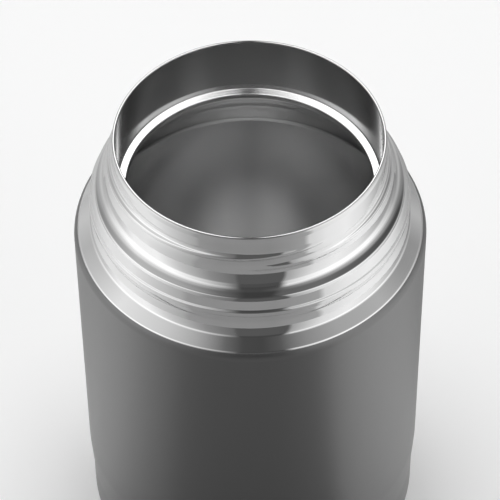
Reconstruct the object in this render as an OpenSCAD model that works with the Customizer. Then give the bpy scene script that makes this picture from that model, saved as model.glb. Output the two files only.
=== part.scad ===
// Insulated food jar: a double-walled steel vessel with a wide open mouth.
// The outer shell and the liner are thin drawn sheets that meet only at the rim, with a vacuum between.
// Millimetres, +Z up, origin on the floor under the middle of the jar.
// Depths are measured down from the rim, heights up from the floor.

/* [Body] */
// Height of the jar, floor to rim
overall_h = 165; // [130:1:220]
// Outside diameter of the coated body
body_d = 110; // [98:1:130]
// Distance by which the foot is drawn in, on the radius
foot_draw = 0.8; // [0.3:0.1:1.4]
// Height of the drawn-in foot
foot_h = 14; // [10:0.5:20]
// Height over which the body draws in to the foot
foot_taper_h = 14; // [10:0.5:24]
// Sheet thickness of the outer shell
shell_wall = 0.5; // [0.4:0.05:0.6]
// Thickness of the coat on the body
coat_wall = 0.12; // [0.08:0.01:0.2]

/* [Mouth and neck] */
// Diameter of the mouth over the rim
rim_d = 83; // [70:0.5:95]
// Distance by which the neck stands out from the rim, on the radius
neck_step = 0.3; // [0.2:0.05:0.6]

/* [Thread] */
// Height of the rolled thread above the neck
thread_h = 2; // [1.2:0.1:2.2]
// Width of the thread at its root
thread_w = 5.4; // [4.4:0.1:5.6]
// Rise of the thread in one turn
thread_pitch = 4.8; // [4.5:0.1:5]
// Turns of thread
thread_turns = 1.12; // [0.6:0.02:1.16]
// Depth of the upper end of the thread
thread_top = 7.5; // [6.5:0.1:7.8]

/* [Collar and shoulder] */
// Depth of the collar's upper edge
collar_top = 20.1; // [19.6:0.1:22]
// Height of the collar's wall
collar_h = 3.6; // [3:0.1:5]
// Height of the bead
bead_h = 3.1; // [2.9:0.1:4]
// Height of the groove, from the bead to the shoulder's slope
groove_h = 6.4; // [5.4:0.1:7]
// Width of the collar's ledge, as a share of the width from the neck to the body's side
collar_share = 0.48; // [0.42:0.01:0.52]
// Spread of the collar's wall from its upper edge to its foot, as a share of that width
collar_spread_share = 0.06; // [0.03:0.005:0.08]
// Distance by which the bead stands out from the collar's foot, as a share of that width
bead_share = 0.057; // [0.04:0.001:0.075]
// Depth of the groove under the bead, as a share of that width
groove_share = 0.153; // [0.12:0.001:0.18]
// Width of the ledge's upper part, from the neck to its slight knee, as a share of the ledge's width
knee_share = 0.635; // [0.55:0.005:0.67]
// Fall of the ledge's upper part, as a share of its width
upper_slope_share = 0.93; // [0.85:0.01:1]
// Fall of the ledge's lower part, as a share of its width
lower_slope_share = 0.625; // [0.58:0.005:0.7]
// Fall of the shoulder, as a share of its width
shoulder_slope_share = 0.78; // [0.66:0.02:0.86]
// Radius of the coat's line on the shoulder's bend, as a share of the width from the neck to the body's side
coat_edge_share = 0.895; // [0.87:0.005:0.93]

/* [Liner] */
// Sheet thickness of the liner
liner_wall = 0.4; // [0.3:0.05:0.5]
// Depth of the ledge that the stopper's seal sits on
ledge_depth = 20.1; // [17:0.1:22]
// Width of the ledge, on the radius
ledge_step = 2.5; // [1.8:0.1:3.2]
// Fall of the ledge towards the throat, as a share of its width
seat_slope_share = 0.27; // [0.1:0.01:0.5]
// Height of the throat under the ledge
throat_h = 1.9; // [1.6:0.1:4]
// Width of the vacuum space between the flare under the throat and the groove
flare_gap = 2.45; // [1.8:0.05:3]
// Width of the vacuum space between the belly and the shell
vacuum_gap = 3.4; // [2.4:0.1:5]
// Height of the liner's floor above the jar's foot
floor_h = 15; // [14:0.5:20]
// Height of the crown in the middle of the liner's floor
floor_crown = 1.6; // [0.5:0.1:2]

/* [Base] */
// Height of the soft ring that the jar stands on, below the shell
pad_proud = 0.9; // [0.7:0.1:1.6]
// Width of the soft ring
pad_w = 7; // [4:0.5:8]
// Sheet thickness of the base cap and the base cover
base_wall = 0.5; // [0.4:0.05:0.7]
// Height of the base cap's panel above the floor
cap_panel_h = 6.4; // [6:0.1:7.4]
// Diameter of the dimple round the evacuation hole
dimple_d = 14; // [12:0.5:18]
// Diameter of the evacuation hole
port_d = 2; // [1:0.1:3]
// Diameter of the getter pill
getter_d = 9; // [6:0.5:10]
// Height of the getter pill
getter_h = 1.6; // [1:0.1:2.2]

/* [Hidden] */

// Colours of the finishes
polished = [0.86, 0.86, 0.87];
satin = [0.66, 0.66, 0.67];
coat_grey = [0.30, 0.30, 0.31];
foil_silver = [0.80, 0.81, 0.83];
weld_grey = [0.74, 0.74, 0.75];
getter_grey = [0.45, 0.44, 0.42];
seal_dark = [0.20, 0.23, 0.24];
glue_white = [0.85, 0.84, 0.80];
pad_black = [0.12, 0.12, 0.12];

$fn = 96;
bend_angle = 7.5;

// The two sheets lie against each other at the rim, under a half-round weld as wide as both
rim_r = rim_d / 2;
bore_r = rim_r - shell_wall - liner_wall;
rim_weld_h = (rim_r - bore_r) / 2;

// Radii of the shell's outside: the ledges share out the width from the neck to the body's side
neck_r = rim_r + neck_step;
steel_r = body_d / 2 - coat_wall;
foot_steel_r = steel_r - foot_draw;
ledges_w = steel_r - neck_r;
collar_r = neck_r + ledges_w * collar_share;
knee_r = neck_r + (collar_r - neck_r) * knee_share;
collar_foot_r = collar_r + ledges_w * collar_spread_share;
bead_r = collar_foot_r + ledges_w * bead_share;
groove_r = bead_r - ledges_w * groove_share;

// Depths of the shell's corners, each from the one above it
knee = collar_top - (collar_r - knee_r) * lower_slope_share;
neck_foot = knee - (knee_r - neck_r) * upper_slope_share;
collar_foot = collar_top + collar_h;
bead_foot = collar_foot + bead_h;
bead_flank = bead_h / 5;
groove_foot = bead_foot + groove_h;
shoulder = groove_foot + (steel_r - groove_r) * shoulder_slope_share;

// Lead from the rim onto the neck, and the bends of the sheet below it, as shares of that width
lead_depth = 1.2;
lead_h = 1;
lead_bend = 1;
neck_bend_share = 0.57;
neck_bend = ledges_w * neck_bend_share;
knee_bend_share = 1;
collar_bend_share = 0.19;
collar_foot_bend_share = 0.027;
bead_bend_share = 0.054;
groove_bend_share = 0.06;
groove_foot_bend_share = 0.465;
shoulder_bend_share = 0.305;
foot_bend = 40;

// The coat starts inside the shoulder's bend
coat_edge_r = neck_r + ledges_w * coat_edge_share;

// Radii of the liner and the base. The liner's flare passes the groove at its own distance
throat_r = bore_r - ledge_step;
seat_foot = ledge_depth + ledge_step * seat_slope_share;
throat_foot = seat_foot + throat_h;
belly_r = steel_r - shell_wall - vacuum_gap - liner_wall;
flare_r = groove_r - shell_wall - flare_gap - liner_wall;
belly_top = throat_foot + (belly_r - throat_r) * (groove_foot - throat_foot) / (flare_r - throat_r);
skirt_r = foot_steel_r - shell_wall;

// Edges of shell and base cap, level with each other over a half-round seam
seam_r = (base_wall + shell_wall) / 2;
edge_z = pad_proud + seam_r;

// A bent path: corners of radius, height and bend become points, with an arc at each bend
function at(c) = [c[0], c[1]];
function left(d) = [-d[1], d[0]];
function unit(v) = v / norm(v);
function turned(s, t) = s * cos(t) + left(s) * sin(t);
function turn(s, e) = atan2(s[0] * e[1] - s[1] * e[0], s * e);
function bend(a, b, c, r) =
    let (u = unit(a - b), v = unit(c - b), half = acos(max(-1, min(1, u * v))) / 2)
    let (m = b + unit(u + v) * r / sin(half), s = b + u * r / tan(half) - m, e = b + v * r / tan(half) - m)
    let (n = ceil(abs(turn(s, e)) / bend_angle))
    [for (i = [0 : n]) m + turned(s, turn(s, e) * i / n)];
function path(c) = [for (i = [0 : len(c) - 1])
    each (c[i][2] == 0 ? [at(c[i])] : bend(at(c[i - 1]), at(c[i]), at(c[i + 1]), c[i][2]))];

// The corners moved to the left by w, each bend round the same centre, and the outline of a sheet that thick
function moved(c, w) = [for (i = [0 : len(c) - 1])
    let (j = max(i, 1), k = min(i, len(c) - 2))
    let (u = unit(at(c[j]) - at(c[j - 1])), v = unit(at(c[k + 1]) - at(c[k])), m = unit(left(u + v)))
    let (p = at(c[i]) + m * w / (m * left(v)), r = c[i][2] - w * sign(turn(u, v)))
    [p[0], p[1], c[i][2] == 0 ? 0 : max(0, r)]];
function sheet(c, w) = let (q = path(moved(c, w))) concat(path(c), [for (i = [len(q) - 1 : -1 : 0]) q[i]]);

module spun(outline) rotate_extrude() polygon(outline);
module ring(outer, inner, h) rotate_extrude() translate([inner, 0]) square([outer - inner, h]);

// Half of a round weld bead of radius r, its flat side down, or up where side is -1
weld_steps = 10;
module half_round(r, side) polygon([
    for (i = [0 : weld_steps]) let (t = 180 * i / weld_steps) r * [cos(t), side * sin(t)]
]);

// Corners of the shell's outside, from the rim down: radius, height, bend
shell_top = [
    [rim_r, overall_h - rim_weld_h, 0],
    [rim_r, overall_h - lead_depth, lead_bend],
    [neck_r, overall_h - lead_depth - lead_h, lead_bend],
    [neck_r, overall_h - neck_foot, neck_bend],
    [knee_r, overall_h - knee, ledges_w * knee_bend_share],
    [collar_r, overall_h - collar_top, ledges_w * collar_bend_share],
    [collar_foot_r, overall_h - collar_foot, ledges_w * collar_foot_bend_share],
    [bead_r, overall_h - collar_foot - bead_flank, ledges_w * bead_bend_share],
    [bead_r, overall_h - bead_foot + bead_flank, ledges_w * bead_bend_share],
    [groove_r, overall_h - bead_foot, ledges_w * groove_bend_share],
    [groove_r, overall_h - groove_foot, ledges_w * groove_foot_bend_share]
];
shell_body = [
    [steel_r, overall_h - shoulder, ledges_w * shoulder_bend_share],
    [steel_r, foot_h + foot_taper_h, foot_bend],
    [foot_steel_r, foot_h, foot_bend],
    [foot_steel_r, edge_z, 0]
];

// Rolled thread: one ridge with a rounded crest and hollow flanks that rises round the neck and fades out
// at both ends. Where its lower flank meets the neck's bend, it ends inside the sheet
thread_steps = 84;
thread_start = -100;
thread_fade = 100;
thread_bury = 0.12;
thread_hold = 0.2;
thread_sink = 0.32;
thread_shares = [[-0.5, 0], [-0.34, 0.19], [-0.225, 0.55], [-0.11, 0.89], [0, 1],
    [0.11, 0.89], [0.225, 0.55], [0.34, 0.19], [0.5, 0]];
thread_sweep = 360 * thread_turns;
neck_bend_z = overall_h - neck_foot + neck_bend * tan(45 - atan(upper_slope_share) / 2);
function neck_at(z) = neck_r + neck_bend - sqrt(pow(neck_bend, 2) - pow(max(0, neck_bend_z - z), 2));
function fade(a) = sin(90 * max(0, min(1, a / thread_fade, (thread_sweep - a) / thread_fade)));
function thread_ring(i) =
    let (a = thread_sweep * i / thread_steps)
    let (crest = overall_h - thread_top - thread_pitch * (thread_sweep - a) / 360)
    let (h = (thread_h + thread_bury) * fade(a), w = thread_w * (1 + fade(a)) / 2)
    [for (s = concat([[-0.5, -1]], thread_shares, [[0.5, -1]]))
        let (z = crest + w * s[0], ridge_r = neck_r - thread_bury + h * s[1])
        let (r = s[1] < 0 ? neck_at(z) - thread_sink : max(ridge_r, neck_at(z) - thread_hold))
        [r * cos(thread_start + a), r * sin(thread_start + a), z]];

module thread_ridge() {
    n = len(thread_shares) + 2;
    last = thread_steps * n;
    flanks = [for (i = [0 : thread_steps - 1], j = [0 : n - 1])
        let (k = (j + 1) % n, a = i * n)
        each [[a + j, a + k, a + n + j], [a + k, a + n + k, a + n + j]]];
    ends = [[for (j = [n - 1 : -1 : 0]) j], [for (j = [0 : n - 1]) last + j]];
    polyhedron([for (i = [0 : thread_steps]) each thread_ring(i)], concat(flanks, ends), convexity = 6);
}

// Outer shell: a drawn tube with a rolled neck, collar, bead, groove, shoulder and drawn-in foot
module outer_shell() {
    color(polished) {
        spun(sheet(concat(shell_top, shell_body), -shell_wall));
        thread_ridge();
    }
}

// Coat on the body, from its line on the shoulder to just above the seam at the foot
coat_foot_gap = 0.6;
module body_coating() {
    corners = concat([[groove_r, overall_h - groove_foot, 0]],
        [for (i = [0 : 2]) shell_body[i]], [[foot_steel_r, edge_z + coat_foot_gap, 0]]);
    inside = path(corners);
    outside = path(moved(corners, coat_wall));
    first = [for (i = [1 : len(inside) - 1]) if (inside[i][0] >= coat_edge_r) i][0];
    color(coat_grey) spun(concat([for (i = [first : len(inside) - 1]) inside[i]],
        [for (i = [len(outside) - 1 : -1 : first]) outside[i]]));
}

// Liner: bore, ledge for the stopper's seal, throat, flare and belly, in one drawn sheet
ledge_bend = 0.5;
ledge_edge_bend = 0.5;
throat_bend = 2;
belly_bend = 6;
liner_skirt_h = 8;
liner_end_z = floor_h + liner_skirt_h;
module inner_liner() {
    corners = [
        [bore_r, overall_h - rim_weld_h, 0],
        [bore_r, overall_h - ledge_depth, ledge_bend],
        [throat_r, overall_h - seat_foot, ledge_edge_bend],
        [throat_r, overall_h - throat_foot, throat_bend],
        [belly_r, overall_h - belly_top, belly_bend],
        [belly_r, liner_end_z, 0]
    ];
    color(satin) spun(sheet(corners, liner_wall));
}

// Half-round bead that fuses the upper edges of shell and liner
module rim_weld() {
    color(polished) rotate_extrude() translate([bore_r + rim_weld_h, overall_h - rim_weld_h])
        half_round(rim_weld_h, 1);
}

// Dished bottom of the liner, with a crowned middle and a skirt that meets the liner's tube
floor_bend = 7;
crown_share = 0.62;
crown_flat_share = 0.31;
weld_gap = 0.3;
module liner_bottom() {
    corners = [
        [0, floor_h + floor_crown, 0],
        [belly_r * crown_flat_share, floor_h + floor_crown, floor_bend],
        [belly_r * crown_share, floor_h, floor_bend],
        [belly_r, floor_h, floor_bend],
        [belly_r, liner_end_z - weld_gap, 0]
    ];
    color(satin) spun(sheet(corners, -liner_wall));
}

// Seam between the liner's tube and its bottom: it fills the gap and stands a little proud outside
seam_proud = 0.15;
module liner_weld() {
    color(weld_grey) translate([0, 0, liner_end_z - weld_gap])
        ring(belly_r + liner_wall + seam_proud, belly_r, weld_gap);
}

// Bright foil round the belly, inside the vacuum, its two ends a little apart under the tape
foil_wall = 0.1;
foil_clear = 0.05;
foil_slit = 2;
foil_edge = 3;
foil_r = belly_r + liner_wall + foil_clear;
foil_foot_z = liner_end_z + foil_edge;
foil_h = overall_h - belly_top - belly_bend - foil_foot_z;
module foil_wrap() {
    color(foil_silver) translate([0, 0, foil_foot_z]) rotate(foil_slit / 2)
        rotate_extrude(angle = 360 - foil_slit) translate([foil_r, 0]) square([foil_wall, foil_h]);
}

// Strip of tape that holds the foil's ends together
tape_angle = 12;
tape_wall = 0.08;
module foil_tape() {
    color(foil_silver) translate([0, 0, foil_foot_z]) rotate(-tape_angle / 2)
        rotate_extrude(angle = tape_angle) translate([foil_r + foil_wall, 0]) square([tape_wall, foil_h]);
}

// Bright foil under the liner's bottom, cut to the flat ring round the crown
foil_disc_inset = 9;
module foil_disc() {
    color(foil_silver) translate([0, 0, floor_h - liner_wall - foil_clear - foil_wall])
        cylinder(r = belly_r - foil_disc_inset, h = foil_wall);
}

// Base cap: a skirt inside the shell's foot, a panel with a pressed land for the glue, and a dimple
cover_z = edge_z;
glue_h = 1;
land_z = cover_z + base_wall + glue_h;
land_outer_share = 0.74;
land_inner_share = 0.58;
cap_bend = 1.8;
land_bend = 1;
dimple_depth = 2;
dimple_bend = 0.8;
dimple_r = dimple_d / 2;
port_r = port_d / 2;
module base_cap() {
    panel = cap_panel_h + base_wall;
    land = land_z + base_wall;
    corners = [
        [skirt_r, edge_z, 0],
        [skirt_r, panel, cap_bend],
        [skirt_r * land_outer_share, panel, land_bend],
        [skirt_r * land_outer_share, land, land_bend],
        [skirt_r * land_inner_share, land, land_bend],
        [skirt_r * land_inner_share, panel, land_bend],
        [dimple_r, panel, dimple_bend],
        [dimple_r / 2, panel + dimple_depth, dimple_bend],
        [port_r, panel + dimple_depth, 0]
    ];
    color(satin) spun(sheet(corners, base_wall));
}

// Half-round seam under the edges of shell and base cap
module base_weld() {
    color(weld_grey) rotate_extrude() translate([foot_steel_r - seam_r, edge_z])
        half_round(seam_r, -1);
}

// Seal that was melted over the hole while the jar stood upside down in the vacuum furnace
seal_share = 0.42;
seal_h = 0.8;
module vacuum_seal() {
    color(seal_dark) translate([0, 0, cap_panel_h + dimple_depth - seal_h]) {
        cylinder(r = dimple_r * seal_share, h = seal_h);
        cylinder(r = port_r, h = seal_h + base_wall);
    }
}

// Getter pill, held on the inside of the base cap
getter_at_share = 0.37;
getter_at = skirt_r * getter_at_share;
getter_foot_z = cap_panel_h + base_wall;
module getter() {
    color(getter_grey) translate([getter_at, 0, getter_foot_z]) cylinder(r = getter_d / 2, h = getter_h);
}

// Pressed strip over the pill, with a tab spot-welded to the cap at each side
strip_wall = 0.3;
strip_w = 5;
tab_l = 4;
holder_clear = 0.1;
module getter_holder() {
    inside = getter_d + 2 * holder_clear;
    outside = inside + 2 * strip_wall;
    color(satin) translate([getter_at - strip_w / 2, 0, getter_foot_z]) rotate([90, 0, 90])
        linear_extrude(strip_w) polygon([
            [-outside / 2 - tab_l, 0], [-inside / 2, 0], [-inside / 2, getter_h], [inside / 2, getter_h],
            [inside / 2, 0], [outside / 2 + tab_l, 0], [outside / 2 + tab_l, strip_wall],
            [outside / 2, strip_wall], [outside / 2, getter_h + strip_wall],
            [-outside / 2, getter_h + strip_wall], [-outside / 2, strip_wall],
            [-outside / 2 - tab_l, strip_wall]
        ]);
}

// Ring of adhesive between the base cap's land and the base cover
module cover_adhesive() {
    color(glue_white) translate([0, 0, cover_z + base_wall])
        ring(skirt_r * land_outer_share - 2 * land_bend, skirt_r * land_inner_share + 2 * land_bend, glue_h);
}

// Soft ring's place under the cover: a shallow pressed seat, a little wider than the ring
pad_inset = 3.8;
seat_clear = 0.2;
seat_h = 0.3;
cover_gap = 0.25;
cover_r = skirt_r - base_wall - cover_gap;
pad_outer_r = cover_r - pad_inset;
pad_inner_r = pad_outer_r - pad_w;

// Base cover: a thin disc with an upturned edge and a pressed seat for the soft ring
cover_edge_h = 1.2;
cover_bend = 0.9;
module base_cover() {
    corners = [
        [0, cover_z, 0],
        [pad_inner_r - seat_clear, cover_z, 0],
        [pad_inner_r - seat_clear, cover_z + seat_h, 0],
        [pad_outer_r + seat_clear, cover_z + seat_h, 0],
        [pad_outer_r + seat_clear, cover_z, 0],
        [cover_r, cover_z, cover_bend],
        [cover_r, cover_z + cover_edge_h, 0]
    ];
    color(satin) spun(sheet(corners, base_wall));
}

// Soft ring that the jar stands on, bonded in the cover's seat
pad_edge = 0.4;
module base_pad() {
    top = cover_z + seat_h;
    color(pad_black) spun([
        [pad_inner_r, top], [pad_inner_r, pad_edge], [pad_inner_r + pad_edge, 0],
        [pad_outer_r - pad_edge, 0], [pad_outer_r, pad_edge], [pad_outer_r, top]
    ]);
}

outer_shell();
body_coating();
inner_liner();
rim_weld();
liner_bottom();
liner_weld();
foil_wrap();
foil_tape();
foil_disc();
base_cap();
base_weld();
vacuum_seal();
getter();
getter_holder();
cover_adhesive();
base_cover();
base_pad();
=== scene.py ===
from math import atan2, cos, degrees, hypot, pi, radians, sin, tan

import bmesh
import bpy
from mathutils import Matrix, Vector


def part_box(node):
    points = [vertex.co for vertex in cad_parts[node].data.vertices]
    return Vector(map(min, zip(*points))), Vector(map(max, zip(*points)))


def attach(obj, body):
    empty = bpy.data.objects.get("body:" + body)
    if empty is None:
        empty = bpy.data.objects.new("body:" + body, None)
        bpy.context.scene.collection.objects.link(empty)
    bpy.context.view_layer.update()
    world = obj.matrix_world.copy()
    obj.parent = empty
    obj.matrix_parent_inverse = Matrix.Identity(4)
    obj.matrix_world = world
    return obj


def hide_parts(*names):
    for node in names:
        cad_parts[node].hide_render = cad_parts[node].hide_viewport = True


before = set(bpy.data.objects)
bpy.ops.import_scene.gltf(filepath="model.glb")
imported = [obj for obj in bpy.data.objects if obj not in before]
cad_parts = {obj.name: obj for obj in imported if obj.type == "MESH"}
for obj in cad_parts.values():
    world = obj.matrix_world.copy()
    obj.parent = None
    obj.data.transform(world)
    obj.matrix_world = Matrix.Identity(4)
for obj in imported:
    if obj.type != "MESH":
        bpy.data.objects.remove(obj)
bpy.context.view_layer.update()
MM = 0.001

# The photograph looks down into the open mouth with a long lens, from a little over 80 cm away.
# The camera stands on the jar's front side and is rolled by a hair.
jar_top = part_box("rim_weld")[1].z
camera_distance = 838.6 * MM
camera_elevation = radians(46.15)
lens_depression = radians(48.507)
lens_roll = radians(-0.627)
camera_y = -camera_distance * cos(camera_elevation)
camera_z = jar_top + camera_distance * sin(camera_elevation)

camera = bpy.data.objects.new("camera", bpy.data.cameras.new("camera"))
camera.data.sensor_width = 36
camera.data.lens = 200.1
camera.data.shift_x = -0.001
camera.data.shift_y = 0.001
camera.data.clip_start = 0.05
camera.matrix_world = (
    Matrix.Translation((0, camera_y, camera_z))
    @ Matrix.Rotation(pi / 2 - lens_depression, 4, "X")
    @ Matrix.Rotation(lens_roll, 4, "Z")
)
bpy.context.collection.objects.link(camera)
bpy.context.scene.camera = camera
bpy.context.scene.view_settings.view_transform = "Standard"


# The outer shell is a stainless tube, drawn from one sheet and rolled: a neck with one turn of thread, a
# collar with a bead, a groove, a sloping shoulder, the straight side and a drawn-in foot. The neck is
# polished bright, and faint lines from the wheel run round it.
def bent_line(corners, bend_step=radians(4), support=0.12 * MM):
    """Points along corners (radius, height, bend). A bend is an arc with a close point at each end."""
    line = []
    for i, (r, z, bend) in enumerate(corners):
        here = Vector((r, z))
        if bend == 0:
            line.append(here)
            continue
        back = (Vector(corners[i - 1][:2]) - here).normalized()
        on = (Vector(corners[i + 1][:2]) - here).normalized()
        half = back.angle(on) / 2
        centre = here + (back + on).normalized() * bend / sin(half)
        first = here + back * bend / tan(half) - centre
        turn = (pi - 2 * half) * (1 if first.x * on.y - first.y * on.x > 0 else -1)
        count = max(4, round(abs(turn) / bend_step))
        line.append(centre + first + back * support)
        for k in range(count + 1):
            line.append(centre + Matrix.Rotation(turn * k / count, 2) @ first)
        line.append(line[-1] + on * support)
    return line


def spun(line, steps=200, merged=0.001 * MM):
    """The line turned once round the jar's axis, with its faces pointing one way."""
    bm = bmesh.new()
    ring = [bm.verts.new((p.x, 0, p.y)) for p in line]
    edges = [bm.edges.new(pair) for pair in zip(ring, ring[1:])]
    bmesh.ops.spin(
        bm, geom=ring + edges, cent=(0, 0, 0), axis=(0, 0, 1), angle=2 * pi, steps=steps, use_merge=True
    )
    bmesh.ops.remove_doubles(bm, verts=bm.verts, dist=merged)
    bmesh.ops.recalc_face_normals(bm, faces=bm.faces)
    return bm


def walled(bm, side, thickness):
    """Gives a spun sheet its thickness behind its face, which looks outwards, or inwards if side is -1."""
    widest = max(bm.faces, key=lambda f: f.calc_area())
    out = widest.calc_center_median()
    if (widest.normal.x * out.x + widest.normal.y * out.y) * side < 0:
        bmesh.ops.reverse_faces(bm, faces=bm.faces)
    bmesh.ops.solidify(bm, geom=bm.faces[:], thickness=thickness)
    bmesh.ops.recalc_face_normals(bm, faces=bm.faces)
    return bm


def as_object(name, bm, material, sharp=radians(30)):
    """The finished piece, shaded smooth apart from its sharp edges."""
    for face in bm.faces:
        face.smooth = True
    for edge in bm.edges:
        edge.smooth = edge.calc_face_angle(0) < sharp
    mesh = bpy.data.meshes.new(name)
    bm.to_mesh(mesh)
    bm.free()
    mesh.materials.append(material)
    piece = bpy.data.objects.new(name, mesh)
    bpy.context.collection.objects.link(piece)
    return piece


def node_maker(tree):
    """A function that adds a shader node to this tree, makes its settings and links or sets its inputs."""

    def node(kind, inputs=(), **settings):
        made = tree.nodes.new("ShaderNode" + kind)
        for key, value in settings.items():
            setattr(made, key, value)
        for index, value in dict(inputs).items():
            if isinstance(value, bpy.types.NodeSocket):
                tree.links.new(value, made.inputs[index])
            else:
                made.inputs[index].default_value = value
        return made

    return node


def new_material(name, **sockets):
    """A material with these values on its shader's own sockets, and the two functions that add to it."""
    material = bpy.data.materials.new(name)
    material.use_nodes = True
    tree = material.node_tree
    surface = tree.nodes["Principled BSDF"]
    for socket, value in sockets.items():
        surface.inputs[socket.replace("_", " ")].default_value = value

    def join(output, socket):
        tree.links.new(output, surface.inputs[socket])

    return material, node_maker(tree), join


def turned_lines(node, per_mm, per_radian):
    """A place for noise that runs round the jar: so many lines per mm and so many streaks per radian."""
    xyz = node("SeparateXYZ", {0: node("TexCoord").outputs["Object"]}).outputs
    flat = node("CombineXYZ", {0: xyz[0], 1: xyz[1]}).outputs[0]
    radius = node("VectorMath", {0: flat}, operation="LENGTH").outputs["Value"]
    way_round = node("Math", {0: xyz[1], 1: xyz[0]}, operation="ARCTAN2").outputs[0]
    streaks = node("Math", {0: way_round, 1: per_radian}, operation="MULTIPLY").outputs[0]
    outline = node("CombineXYZ", {0: radius, 1: xyz[2]}).outputs[0]
    fine = (per_mm / MM,) * 3
    across = node("VectorMath", {0: outline, 1: fine}, operation="MULTIPLY").outputs[0]
    along = node("CombineXYZ", {2: streaks}).outputs[0]
    return node("VectorMath", {0: across, 1: along}, operation="ADD").outputs[0]


polished_grey = (0.88, 0.88, 0.88, 1)
polished, node, join = new_material("polished_steel", Base_Color=polished_grey, Metallic=1, Roughness=0.07)
wheel_lines = turned_lines(node, per_mm=5, per_radian=1.6)
lines = node("TexNoise", {"Vector": wheel_lines, "Scale": 1, "Detail": 3, "Roughness": 0.6}).outputs[0]
join(node("MapRange", {"Value": lines, "To Min": 0.03, "To Max": 0.08}).outputs[0], "Roughness")
join(node("Bump", {"Strength": 0.08, "Distance": 0.02 * MM, "Height": lines}).outputs[0], "Normal")

shell_wall = 0.5 * MM
rim_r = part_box("rim_weld")[1].x
steel_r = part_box("outer_shell")[1].x
neck_r = rim_r + 0.3 * MM
ledges_w = steel_r - neck_r
collar_r = neck_r + ledges_w * 0.48
collar_foot_r = collar_r + ledges_w * 0.06
bead_r = collar_foot_r + ledges_w * 0.057
groove_r = bead_r - ledges_w * 0.153
knee_r = neck_r + (collar_r - neck_r) * 0.635
foot_steel_r = steel_r - 0.8 * MM

weld_h = 0.45 * MM
rim_step_top = jar_top - 1.2 * MM
rim_step_foot = jar_top - 2.2 * MM
lead_foot = jar_top - 2.6 * MM
collar_top = jar_top - 20.1 * MM
upper_slope = 0.93
lower_slope = 0.625
knee_z = collar_top + (collar_r - knee_r) * lower_slope
neck_foot = knee_z + (knee_r - neck_r) * upper_slope
collar_foot = collar_top - 3.6 * MM
bead_foot = collar_foot - 3.1 * MM
bead_flank = 0.62 * MM
groove_foot = bead_foot - 6.4 * MM
shoulder_slope = 0.78
shoulder_z = groove_foot - (steel_r - groove_r) * shoulder_slope
foot_top = 28 * MM
foot_z = 14 * MM
shell_edge_z = 1.4 * MM

rim_step_bend = 1 * MM
neck_bend = ledges_w * 0.57
knee_bend = ledges_w
collar_bend = ledges_w * 0.19
collar_foot_bend = ledges_w * 0.027
bead_bend = ledges_w * 0.054
bead_foot_bend = ledges_w * 0.06
groove_foot_bend = ledges_w * 0.465
shoulder_bend = ledges_w * 0.305
foot_bend = 40 * MM

thread_h = 2 * MM
thread_w = 5.4 * MM
thread_pitch = 4.8 * MM
thread_top = jar_top - 7.5 * MM
crest_share = 0.35
thread_start = -100
thread_turns = 1.12
thread_sweep = 360 * thread_turns
thread_fade = 100


def thread_rise(x, y, z):
    """How far the rolled thread lifts the neck here: a rounded ridge that climbs and fades at both ends."""
    rise = 0
    for turn in (0, 360):
        along = (degrees(atan2(y, x)) - thread_start) % 360 + turn
        crest = thread_top - thread_pitch * (thread_sweep - along) / 360
        ends = min(along, thread_sweep - along) / thread_fade
        if ends > 0:
            fade = sin(pi / 2 * min(1, ends))
            half_w = thread_w / 2 * (1 + fade) / 2
            off = abs(z - crest) / half_w
            if off < crest_share:
                rise = max(rise, thread_h * fade * (1 - off * off / crest_share))
            elif off < 1:
                rise = max(rise, thread_h * fade * (1 - off) ** 2 / (1 - crest_share))
    return rise


# The neck gets close rows of points, because the thread is rolled out of them.
neck_rows = 48
row_clearance = 0.3 * MM
neck_bend_top = neck_foot + neck_bend * tan((pi / 2 - atan2(upper_slope, 1)) / 2) + row_clearance
row_step = (neck_bend_top - lead_foot) / neck_rows
shell_line = bent_line(
    [
        (rim_r, jar_top - weld_h, 0),
        (rim_r, rim_step_top, rim_step_bend),
        (neck_r, rim_step_foot, rim_step_bend),
        *[(neck_r, lead_foot + row_step * k, 0) for k in range(neck_rows + 1)],
        (neck_r, neck_foot, neck_bend),
        (knee_r, knee_z, knee_bend),
        (collar_r, collar_top, collar_bend),
        (collar_foot_r, collar_foot, collar_foot_bend),
        (bead_r, collar_foot - bead_flank, bead_bend),
        (bead_r, bead_foot + bead_flank, bead_bend),
        (groove_r, bead_foot, bead_foot_bend),
        (groove_r, groove_foot, groove_foot_bend),
        (steel_r, shoulder_z, shoulder_bend),
        (steel_r, foot_top, foot_bend),
        (foot_steel_r, foot_z, foot_bend),
        (foot_steel_r, shell_edge_z, 0),
    ]
)
shell_bm = spun(shell_line)
for vert in shell_bm.verts:
    rise = thread_rise(*vert.co)
    if rise and neck_foot < vert.co.z:
        vert.co.xy *= 1 + rise / vert.co.xy.length
shell = as_object("drawn_shell", walled(shell_bm, 1, shell_wall), polished)
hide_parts("outer_shell")
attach(shell, "root")


# The coat is a satin metallic paint, sprayed and baked on the body in one thin film.
# It ends in a clean masked line on the shoulder. Its fine flakes break up the gloss.
coat_grey = (0.24, 0.24, 0.24, 1)
coat, node, join = new_material("body_coat", Base_Color=coat_grey, Metallic=1, Roughness=0.36)
flake_place = node("TexCoord").outputs["Object"]
flakes = node("TexNoise", {"Vector": flake_place, "Scale": 9000, "Detail": 1}).outputs[0]
flake_roughness = {"Value": flakes, "From Min": 0.3, "From Max": 0.7, "To Min": 0.31, "To Max": 0.41}
join(node("MapRange", flake_roughness).outputs[0], "Roughness")
join(node("Bump", {"Strength": 0.1, "Distance": 0.01 * MM, "Height": flakes}).outputs[0], "Normal")

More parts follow.
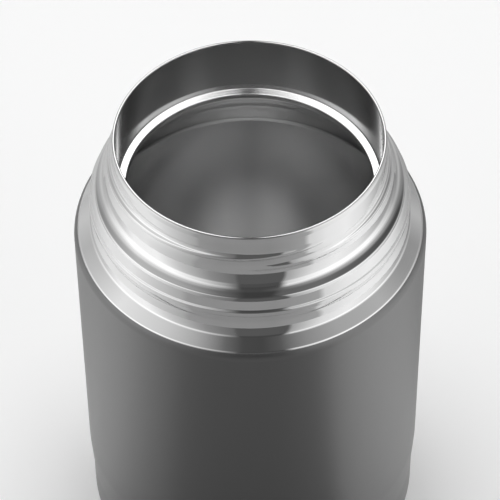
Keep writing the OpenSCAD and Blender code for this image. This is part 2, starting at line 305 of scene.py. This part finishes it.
coat_wall = 0.12 * MM
coat_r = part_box("body_coating")[1].x
coat_foot_r = coat_r - steel_r + foot_steel_r
coat_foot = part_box("body_coating")[0].z
coat_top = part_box("body_coating")[1].z
coat_shoulder_z = shoulder_z + coat_wall * (hypot(1, shoulder_slope) - shoulder_slope)
coat_line = bent_line(
    [
        (groove_r, coat_shoulder_z + (coat_r - groove_r) * shoulder_slope, 0),
        (coat_r, coat_shoulder_z, shoulder_bend + coat_wall),
        (coat_r, foot_top, foot_bend),
        (coat_foot_r, foot_z, foot_bend),
        (coat_foot_r, coat_foot, 0),
    ]
)
masked_line = [p for p in coat_line if p.y <= coat_top]
body = as_object("body_coat", walled(spun(masked_line), 1, coat_wall), coat)
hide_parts("body_coating")
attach(body, "root")


# The liner is a second stainless sheet: a straight bore for the stopper, the sloping ledge that its seal
# sits on, a short throat, a flare with the faint ridges of the spinning tool, then the belly. The bore is
# turned smooth on a lathe, and below the ledge the steel is a little duller.
satin_grey = (0.72, 0.72, 0.72, 1)
satin, node, join = new_material("satin_steel", Base_Color=satin_grey, Metallic=1, Roughness=0.15)
lathe_lines = turned_lines(node, per_mm=7, per_radian=2.5)
lines = node("TexNoise", {"Vector": lathe_lines, "Scale": 1, "Detail": 4, "Roughness": 0.65}).outputs[0]
line_roughness = node("MapRange", {"Value": lines, "To Min": 0.09, "To Max": 0.17}).outputs[0]
height = node("SeparateXYZ", {0: node("TexCoord").outputs["Object"]}).outputs[2]
smooth_to = jar_top - 20 * MM
dull_from = jar_top - 24 * MM
dulling = {"Value": height, "From Min": smooth_to, "From Max": dull_from, "To Min": 0, "To Max": 0.08}
join(node("Math", {0: line_roughness, 1: node("MapRange", dulling).outputs[0]}).outputs[0], "Roughness")
join(node("Bump", {"Strength": 0.35, "Distance": 0.02 * MM, "Height": lines}).outputs[0], "Normal")

liner_wall = 0.4 * MM
bore_r = rim_r - shell_wall - liner_wall
throat_r = bore_r - 2.5 * MM
belly_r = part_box("inner_liner")[1].x - liner_wall
ledge_z = jar_top - 20.1 * MM
ledge_slope = 0.27
throat_z = ledge_z - (bore_r - throat_r) * ledge_slope
throat_foot = throat_z - 1.9 * MM
belly_z = jar_top - 44 * MM
liner_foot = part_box("inner_liner")[0].z
ledge_bend = 0.5 * MM
throat_bend = 2 * MM
ridge_bend = 1.5 * MM
belly_bend = 6 * MM
spun_ridges = ((0.22, 0.25 * MM), (0.34, -0.1 * MM), (0.48, 0.12 * MM), (0.6, 0))


def on_flare(share, ridge):
    """A corner at this share of the way down the flare, and so far outside its straight line."""
    return throat_r + (belly_r - throat_r) * share + ridge, throat_foot + (belly_z - throat_foot) * share


liner_line = bent_line(
    [
        (bore_r, jar_top - weld_h, 0),
        (bore_r, ledge_z, ledge_bend),
        (throat_r, throat_z, ledge_bend),
        (throat_r, throat_foot, throat_bend),
        *[(*on_flare(share, ridge), ridge_bend) for share, ridge in spun_ridges],
        (belly_r, belly_z, belly_bend),
        (belly_r, liner_foot, 0),
    ]
)
liner = as_object("liner", walled(spun(liner_line), -1, liner_wall), satin)
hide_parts("inner_liner")
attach(liner, "root")


# At the mouth the two sheets' edges are melted together into one thin round bead of steel.
# It is only brushed over afterwards, so it is a little duller than the neck.
def grained(name, colour, rough, depth, metallic=1, size=1, turned=None):
    """A finish whose fine grain is rough between two levels and dents the surface by this depth."""
    material, node, join = new_material(name, Base_Color=(*colour, 1), Metallic=metallic)
    place = turned_lines(node, *turned) if turned else node("TexCoord").outputs["Object"]
    grain = node("TexNoise", {"Vector": place, "Scale": size, "Detail": 3}).outputs[0]
    least, most = rough
    join(node("MapRange", {"Value": grain, "To Min": least, "To Max": most}).outputs[0], "Roughness")
    join(node("Bump", {"Strength": 0.5, "Distance": depth, "Height": grain}).outputs[0], "Normal")
    return material


rim_steel = grained("rim_steel", (0.6, 0.6, 0.6), rough=(0.05, 0.16), depth=0.005 * MM, turned=(3, 12))
weld_r = (rim_r - bore_r) / 2
weld_steps = 16
weld_centre = Vector((rim_r - weld_r, jar_top - weld_r))
weld_turns = [Matrix.Rotation(pi * k / weld_steps, 2) for k in range(weld_steps + 1)]
half_round = [weld_centre + turn @ Vector((weld_r, 0)) for turn in weld_turns]
rim = as_object("rim_bead", spun(half_round + half_round[:1]), rim_steel)
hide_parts("rim_weld")
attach(rim, "root")


# The liner's bottom is a shallow dish with a crowned middle, pressed from stainless sheet and left rougher.
# Its grey is painted darker than the liner's, as shade deep in the jar.
# It is welded in from outside before the jar is closed.
def dressed(name, finish):
    """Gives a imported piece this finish."""
    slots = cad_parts[name].data.materials
    slots.clear()
    slots.append(finish)


# Painted shade: this grey is darker than the liner's satin steel to stand in for the shade at the jar's
# bottom.
pressed_and_shaded = grained("pressed_steel_painted_shade", (0.5, 0.5, 0.5), rough=(0.28, 0.42), depth=0.02 * MM, turned=(7, 2.5))
dressed("liner_bottom", pressed_and_shaded)


# The seam that joins liner and bottom is a narrow ring of melted steel, left as it comes from the welder.
# It has close ripples across it and a slightly warmer tone than the sheet.
weld = grained("weld_steel", (0.52, 0.52, 0.51), rough=(0.25, 0.45), depth=0.05 * MM, turned=(1, 90))
dressed("liner_weld", weld)


# Bright metal foil is wound once round the belly before the liner goes into the shell.
# It turns back the heat that would cross the vacuum, and it lies a little creased.
foil = grained("bright_foil", (0.8, 0.8, 0.82), rough=(0.1, 0.24), depth=0.15 * MM, size=260)
dressed("foil_wrap", foil)


# A strip of metal tape holds the foil's two ends together down their whole length.
# The tape's back is duller than the foil.
tape = grained("foil_tape", (0.74, 0.74, 0.76), rough=(0.35, 0.5), depth=0.03 * MM, size=900)
dressed("foil_tape", tape)


# A round of the same bright foil lies under the liner's bottom.
# It is cut to the flat part of the dish and turns back the heat there.
dressed("foil_disc", foil)


# The base cap closes the vacuum space from below. It is pressed from satin steel: a skirt that fits inside
# the shell's foot, a land for the adhesive, and a dimple round the hole through which the air is drawn out.
dressed("base_cap", satin)


# The seam under the edges of shell and base cap is a second ring of melted steel.
# It is made as the liner's seam is, with the same ripples.
dressed("base_weld", weld)


# A bead of dark glass melts over the evacuation hole in the vacuum oven and seals it.
# It cools smooth and shiny.
frit = grained("seal_frit", (0.07, 0.09, 0.1), rough=(0.08, 0.2), depth=0.02 * MM, metallic=0, size=1500)
dressed("vacuum_seal", frit)


# The getter is a pill of pressed metal powder, dark and matt.
# It soaks up the last gas in the vacuum.
pill = grained("getter_pill", (0.2, 0.19, 0.18), rough=(0.6, 0.8), depth=0.03 * MM, metallic=0.6, size=5000)
dressed("getter", pill)


# A pressed strip of thin satin steel holds the getter down on the inside of the base cap.
# It has a tab at each end, which is spot-welded to the cap.
dressed("getter_holder", satin)


# A ring of pale adhesive between the base cap's land and the base cover holds the cover in place.
# It is laid as a bead, pressed flat by the cover and left to cure.
adhesive = grained("adhesive", (0.7, 0.69, 0.64), rough=(0.45, 0.6), depth=0.05 * MM, metallic=0, size=700)
dressed("cover_adhesive", adhesive)


# The base cover is a thin disc of satin steel, stamped with an upturned edge and a seat for the soft ring.
# It is glued on and hides the vacuum seal.
dressed("base_cover", satin)


# The jar stands on a ring of soft dark rubber, moulded with a fine matt grain.
# It is bonded in the base cover's seat.
rubber_black = (0.035, 0.035, 0.037)
rubber = grained("soft_pad", rubber_black, rough=(0.55, 0.72), depth=0.02 * MM, metallic=0, size=4000)
dressed("base_pad", rubber)


# The floor is a pale sheet. Where the steel mirrors it, its colour is painted shade and light by bearing:
# darker where less of the room's light would fall on it, in degrees from the camera's side round to the
# right. These levels and the room's are estimated from the tones that the steel mirrors in the photograph.
def level_by_bearing(node, x, y, levels):
    """A grey level that changes softly from one (bearing, level) to the next."""
    toward = node("Math", {0: y, 1: -1}, operation="MULTIPLY").outputs[0]
    bearing = node("Math", {0: x, 1: toward}, operation="ARCTAN2").outputs[0]
    share = node("MapRange", {"Value": bearing, "From Min": -pi, "From Max": pi}).outputs[0]
    ramp = node("ValToRGB", {0: share})
    stops = ramp.color_ramp.elements
    stops[1].position = 1
    for i, (at, level) in enumerate(levels):
        place = 0.5 + at / 360
        if i == 0:
            stop = stops[0]
        elif i == len(levels) - 1:
            stop = stops[i]
        else:
            stop = stops.new(place)
        stop.position = place
        stop.color = (level, level, level, 1)
    return ramp.outputs[0]


floor_half_w = 20
floor_white = (0.95, 0.95, 0.95, 1)
floor_shade_levels = [
    (-180, 0.45), (-125, 0.62), (-100, 0.86), (-78, 0.88), (-58, 0.62), (-42, 0.43), (-38, 0.33),
    (-22, 0.29), (14, 0.28), (30, 0.33), (41, 0.38), (45, 0.74), (60, 0.9), (78, 0.97), (98, 0.85),
    (120, 0.5), (145, 0.36), (180, 0.45),
]
floor_paint, node, join = new_material("floor", Roughness=0.9, Specular_IOR_Level=0)
place = node("SeparateXYZ", {0: node("TexCoord").outputs["Object"]}).outputs
# Painted shade and light: the floor's grey by bearing, seen by every ray except the camera's.
painted_floor_shade = level_by_bearing(node, place[0], place[1], floor_shade_levels)
seen = node("LightPath").outputs["Is Camera Ray"]
join(node("Mix", {0: seen, 6: painted_floor_shade, 7: floor_white}, data_type="RGBA").outputs[2], "Base Color")

floor_bm = bmesh.new()
bmesh.ops.create_grid(floor_bm, x_segments=1, y_segments=1, size=floor_half_w)
floor = as_object("floor", floor_bm, floor_paint)

# The room is lit by a broad soft box on each side and a strong one overhead, split down the middle. It is
# dimmer behind the jar and dark where the camera stands. The boxes' edges lie on planes that sink towards
# the back, so a height here is the direction's rise plus a share of how far back it points.
room_levels = [
    (-180, 0.5), (-125, 0.45), (-104, 0.62), (-88, 1.0), (-68, 1.0), (-50, 0.6), (-28, 0.28), (-11, 0.16),
    (-9, 0.1), (23, 0.1), (25, 0.38), (45, 0.8), (62, 0.95), (80, 0.85), (103, 0.42), (125, 0.25),
    (150, 0.3), (180, 0.5),
]
lamp_levels = [
    (-180, 0.6), (-120, 0.62), (-90, 1.25), (-60, 1.25), (-35, 0.85), (-20, 0.5), (-8, 0.06),
    (22, 0.06), (28, 0.9), (60, 1.25), (88, 1.2), (120, 0.48), (180, 0.6),
]
wall_levels = [
    (-180, 0.4), (-120, 0.42), (-88, 0.85), (-60, 0.65), (-39, 0.42), (-19, 0.14), (-6, 0.07),
    (8, 0.065), (20, 0.1), (39, 0.27), (60, 0.4), (88, 0.47), (120, 0.22), (180, 0.4),
]
ceiling_levels = [
    (-180, 0.3), (-120, 0.27), (-90, 0.53), (-60, 0.4), (-30, 0.16), (-11, 0.07), (-6, 0.05),
    (20, 0.05), (28, 0.12), (60, 0.16), (90, 0.11), (120, 0.06), (180, 0.3),
]
bands = ((0.32, 0.43, lamp_levels), (0.43, 0.53, wall_levels), (0.56, 0.64, ceiling_levels))
room_tilt = 0.46
overhead_from = (0.85, 0.89)
overhead_split = (0.03, 0.07)
overhead_levels = (0.05, 2.4)
background_white = 1

world = bpy.data.worlds.new("studio")
world.use_nodes = True
bpy.context.scene.world = world
node = node_maker(world.node_tree)


def rising(value, ends, levels=(0, 1)):
    """Goes from the first level to the second while the value goes from one end to the other."""
    inputs = {"Value": value, "From Min": ends[0], "From Max": ends[1]}
    inputs |= {"To Min": levels[0], "To Max": levels[1]}
    return node("MapRange", inputs).outputs[0]


def laid_over(under, value, mask):
    """value where the mask is 1, and what lies under it elsewhere."""
    return node("Mix", {0: mask, 2: under, 3: value}).outputs[0]


aside, backwards, upwards = node("SeparateXYZ", {0: node("TexCoord").outputs["Generated"]}).outputs
tilt = node("Math", {0: backwards, 1: room_tilt}, operation="MULTIPLY").outputs[0]
height = node("Math", {0: upwards, 1: tilt}, operation="ADD").outputs[0]
light = level_by_bearing(node, aside, backwards, room_levels)
for low, high, levels in bands:
    light = laid_over(light, level_by_bearing(node, aside, backwards, levels), rising(height, (low, high)))
off_middle = node("Math", {0: aside}, operation="ABSOLUTE").outputs[0]
overhead = rising(off_middle, overhead_split, overhead_levels)
light = laid_over(light, overhead, rising(height, overhead_from))
light = laid_over(light, background_white, node("LightPath").outputs["Is Camera Ray"])
background = world.node_tree.nodes["Background"]
background.inputs["Color"].default_value = (1, 1, 1, 1)
world.node_tree.links.new(light, background.inputs["Strength"])
